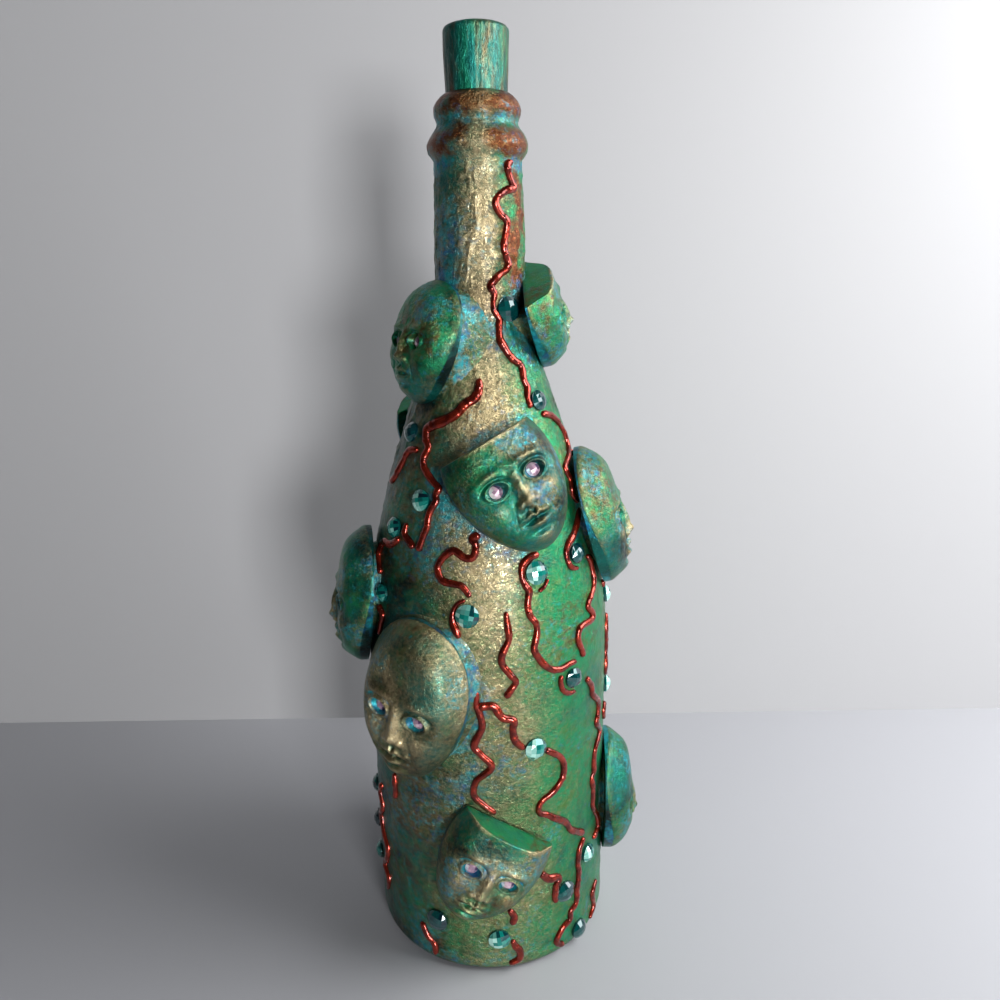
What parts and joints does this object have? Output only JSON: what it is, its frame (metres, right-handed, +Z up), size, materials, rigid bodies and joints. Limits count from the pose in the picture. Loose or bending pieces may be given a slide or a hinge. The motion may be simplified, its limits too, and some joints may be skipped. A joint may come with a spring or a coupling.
{
  "type": "decorated stoppered bottle",
  "caption": "Tall wine-shaped glass bottle dressed in painted tissue, cast masks, winding raised beads and flat-backed stones, with a painted lift-out cork stopper.",
  "frame": {"origin": "centre of the ring that the bottle stands on, at its lowest point", "axes": "+Z up along the bottle's axis to the stopper, -Y towards the front as pictured, +X to the viewer's right"},
  "size_m": [0.1147, 0.1166, 0.3195],
  "materials": {
    "bottle_glass": "clear green bottle glass",
    "painted_tissue": "wrinkled tissue under pearl and gold paint",
    "cork": "natural cork",
    "stopper_paint": "brushed pearl paint",
    "cast_resin": "cast, painted teal and dry-brushed gold",
    "bed_filler": "painted modelling filler",
    "eye_stones": "faceted, foil-backed",
    "teal_stones": "faceted, foil-backed",
    "bead_paint": "raised relief in metallic copper red"
  },
  "bodies": {
    "bottle": {"bed_back_foot": "bed_filler", "bed_back_middle": "bed_filler", "bed_back_upper": "bed_filler", "bed_body_left": "bed_filler", "bed_foot_front": "bed_filler", "bed_foot_right": "bed_filler", "bed_neck_left": "bed_filler", "bed_neck_right": "bed_filler", "bed_shoulder_front": "bed_filler", "bed_shoulder_right": "bed_filler", "bed_side_left": "bed_filler", "eyes_back_foot": "eye_stones", "eyes_back_middle": "eye_stones", "eyes_back_upper": "eye_stones", "eyes_body_left": "eye_stones", "eyes_foot_front": "eye_stones", "eyes_foot_right": "eye_stones", "eyes_neck_left": "eye_stones", "eyes_neck_right": "eye_stones", "eyes_shoulder_front": "eye_stones", "eyes_shoulder_right": "eye_stones", "eyes_side_left": "eye_stones", "gems_back": "teal_stones", "gems_body": "teal_stones", "gems_foot": "teal_stones", "gems_left": "teal_stones", "gems_shoulder": "teal_stones", "glass_bottle": "bottle_glass", "mask_back_foot": "cast_resin", "mask_back_middle": "cast_resin", "mask_back_upper": "cast_resin", "mask_body_left": "cast_resin", "mask_foot_front": "cast_resin", "mask_foot_right": "cast_resin", "mask_neck_left": "cast_resin", "mask_neck_right": "cast_resin", "mask_shoulder_front": "cast_resin", "mask_shoulder_right": "cast_resin", "mask_side_left": "cast_resin", "painted_skin": "painted_tissue", "vine_back_left": "bead_paint", "vine_back_middle": "bead_paint", "vine_back_right": "bead_paint", "vine_back_upper": "bead_paint", "vine_curl": "bead_paint", "vine_foot_front": "bead_paint", "vine_foot_right": "bead_paint", "vine_fork": "bead_paint", "vine_left_link": "bead_paint", "vine_left_outer": "bead_paint", "vine_left_stem": "bead_paint", "vine_loop": "bead_paint", "vine_middle": "bead_paint", "vine_neck": "bead_paint", "vine_right": "bead_paint", "vine_right_edge": "bead_paint", "vine_shoulder": "bead_paint"},
    "stopper": {"cork_stopper": "cork", "stopper_paint": "stopper_paint"}
  },
  "joints": [
    {"name": "stopper_lift", "type": "slide", "parent": "bottle", "child": "stopper", "axis": [0, 0, 1], "range_m": [0, 0.06]}
  ]
}
